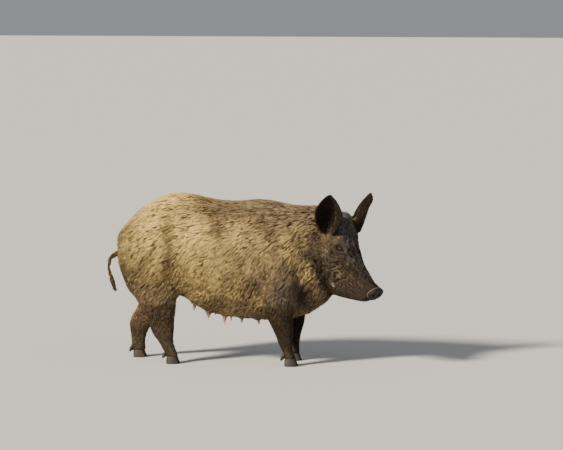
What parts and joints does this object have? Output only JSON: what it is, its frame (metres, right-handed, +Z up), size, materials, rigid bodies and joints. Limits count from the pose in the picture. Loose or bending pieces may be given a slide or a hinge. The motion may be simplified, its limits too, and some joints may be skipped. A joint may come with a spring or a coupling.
{
  "type": "wild boar",
  "caption": "Life-size standing wild boar sow with a long bristly coat, erect ears, a turned head and a hanging tail, resting on its hooves.",
  "frame": {"origin": "on the floor, under the middle of the animal's bounding box", "axes": "+X from tail to snout, +Y to the animal's left, +Z up"},
  "size_m": [1.3292, 0.4436, 0.8019],
  "materials": {
    "coat": "coarse buff and grey-brown bristles in damp locks, matt",
    "face_coat": "short olive-brown hair over wrinkled hide, matt",
    "leg_coat": "short dark brown hair, muddied, matt",
    "ear_coat": "short black-brown hair with paler rim hair, matt",
    "nose_skin": "bare damp hide, slightly glossy",
    "horn": "dark muddied horn, satin",
    "eyeball": "dark brown, wet gloss"
  },
  "bodies": {
    "root": {"foreleg_right": "leg_coat", "hoof_fore_right_inner": "horn", "dewclaw_fore_right_inner": "horn", "hoof_fore_right_outer": "horn", "dewclaw_fore_right_outer": "horn", "foreleg_left": "leg_coat", "hoof_fore_left_inner": "horn", "dewclaw_fore_left_inner": "horn", "hoof_fore_left_outer": "horn", "dewclaw_fore_left_outer": "horn", "hindleg_right": "leg_coat", "hoof_hind_right_inner": "horn", "dewclaw_hind_right_inner": "horn", "hoof_hind_right_outer": "horn", "dewclaw_hind_right_outer": "horn", "hindleg_left": "leg_coat", "hoof_hind_left_inner": "horn", "dewclaw_hind_left_inner": "horn", "hoof_hind_left_outer": "horn", "dewclaw_hind_left_outer": "horn", "ear_right": "ear_coat", "eye_right": "eyeball", "ear_left": "ear_coat", "eye_left": "eyeball", "tail": "coat", "trunk": "coat", "neck": "coat", "head": "face_coat", "lower_jaw": "face_coat", "snout_disc": "nose_skin"}
  },
  "joints": []
}
